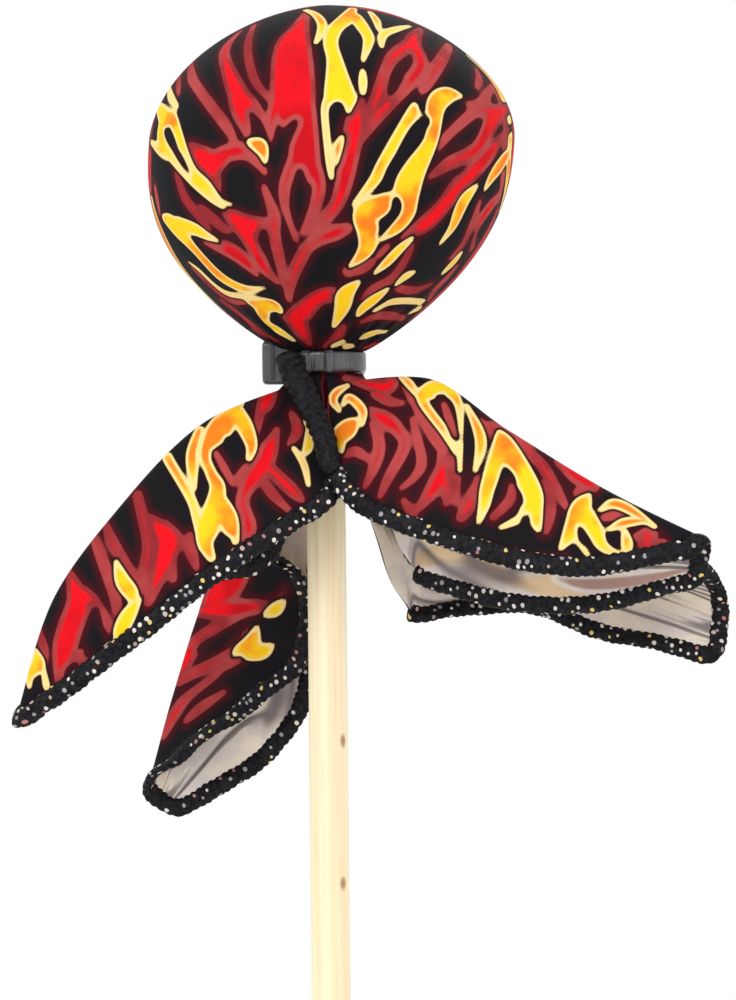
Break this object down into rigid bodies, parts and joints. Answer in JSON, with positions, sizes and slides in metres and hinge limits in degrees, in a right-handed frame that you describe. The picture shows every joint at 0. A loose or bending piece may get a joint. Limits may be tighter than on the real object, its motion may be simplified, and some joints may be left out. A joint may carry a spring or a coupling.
{
  "type": "devil stick",
  "caption": "Devil stick: a round wooden dowel with a stuffed, cloth-covered head tied on at each end, the cloth's four free corners hanging from each tie.",
  "frame": {"origin": "middle of the dowel, on its axis", "axes": "+Z along the dowel towards the upper head, -Y towards the side with the cloth's front edge loop, +X to the right seen from there"},
  "size_m": [0.1713, 0.1082, 0.642],
  "materials": {
    "dowel_wood": "bare, lightly sanded",
    "foam": "open-cell foam",
    "fibre": "loose polyester fibre",
    "print_cloth": "stretch knit, flame print on black",
    "edge_thread": "overlocked thread",
    "tie_nylon": "smoky translucent nylon"
  },
  "bodies": {
    "root": {"dowel": "dowel_wood", "top_core": "foam", "top_stuffing": "fibre", "top_cover": "print_cloth", "top_collar": "print_cloth", "top_tie_strap": "tie_nylon", "top_tie_head": "tie_nylon", "top_front_loop": "edge_thread", "bottom_core": "foam", "bottom_stuffing": "fibre", "bottom_cover": "print_cloth", "bottom_collar": "print_cloth", "bottom_tie_strap": "tie_nylon", "bottom_tie_head": "tie_nylon"},
    "top_flap_front_left": {"top_corner_front_left": "print_cloth", "top_edge_front_left": "edge_thread"},
    "top_flap_back_left": {"top_corner_back_left": "print_cloth", "top_edge_back_left": "edge_thread"},
    "top_flap_back_right": {"top_corner_back_right": "print_cloth", "top_edge_back_right": "edge_thread"},
    "top_flap_front_right": {"top_corner_front_right": "print_cloth", "top_edge_front_right": "edge_thread"},
    "bottom_flap_front_left": {"bottom_corner_front_left": "print_cloth", "bottom_edge_front_left": "edge_thread"},
    "bottom_flap_back_left": {"bottom_corner_back_left": "print_cloth", "bottom_edge_back_left": "edge_thread"},
    "bottom_flap_back_right": {"bottom_corner_back_right": "print_cloth", "bottom_edge_back_right": "edge_thread"},
    "bottom_flap_front_right": {"bottom_corner_front_right": "print_cloth", "bottom_edge_front_right": "edge_thread"}
  },
  "joints": [
    {"name": "top_swing_front_left", "type": "hinge", "parent": "root", "child": "top_flap_front_left", "pos_m": [-0.00875, -0.00485, 0.227], "axis": [-0.4848, 0.8746, 0], "range_deg": [-5, 30], "stiffness_Nm_per_rad": 0.08},
    {"name": "top_swing_back_left", "type": "hinge", "parent": "root", "child": "top_flap_back_left", "pos_m": [-0.00707, 0.00707, 0.227], "axis": [0.7071, 0.7071, 0], "range_deg": [-5, 70], "stiffness_Nm_per_rad": 0.08},
    {"name": "top_swing_back_right", "type": "hinge", "parent": "root", "child": "top_flap_back_right", "pos_m": [0.00707, 0.00707, 0.227], "axis": [0.7071, -0.7071, 0], "range_deg": [-5, 50], "stiffness_Nm_per_rad": 0.08},
    {"name": "top_swing_front_right", "type": "hinge", "parent": "root", "child": "top_flap_front_right", "pos_m": [0.00875, -0.00485, 0.227], "axis": [-0.4848, -0.8746, 0], "range_deg": [-4, 42], "stiffness_Nm_per_rad": 0.08},
    {"name": "bottom_swing_front_left", "type": "hinge", "parent": "root", "child": "bottom_flap_front_left", "pos_m": [-0.00707, -0.00707, -0.227], "axis": [-0.7071, 0.7071, 0], "range_deg": [-20, 30], "stiffness_Nm_per_rad": 0.08},
    {"name": "bottom_swing_back_left", "type": "hinge", "parent": "root", "child": "bottom_flap_back_left", "pos_m": [-0.00707, 0.00707, -0.227], "axis": [0.7071, 0.7071, 0], "range_deg": [-20, 30], "stiffness_Nm_per_rad": 0.08},
    {"name": "bottom_swing_back_right", "type": "hinge", "parent": "root", "child": "bottom_flap_back_right", "pos_m": [0.00707, 0.00707, -0.227], "axis": [0.7071, -0.7071, 0], "range_deg": [-20, 30], "stiffness_Nm_per_rad": 0.08},
    {"name": "bottom_swing_front_right", "type": "hinge", "parent": "root", "child": "bottom_flap_front_right", "pos_m": [0.00707, -0.00707, -0.227], "axis": [-0.7071, -0.7071, 0], "range_deg": [-20, 30], "stiffness_Nm_per_rad": 0.08}
  ]
}
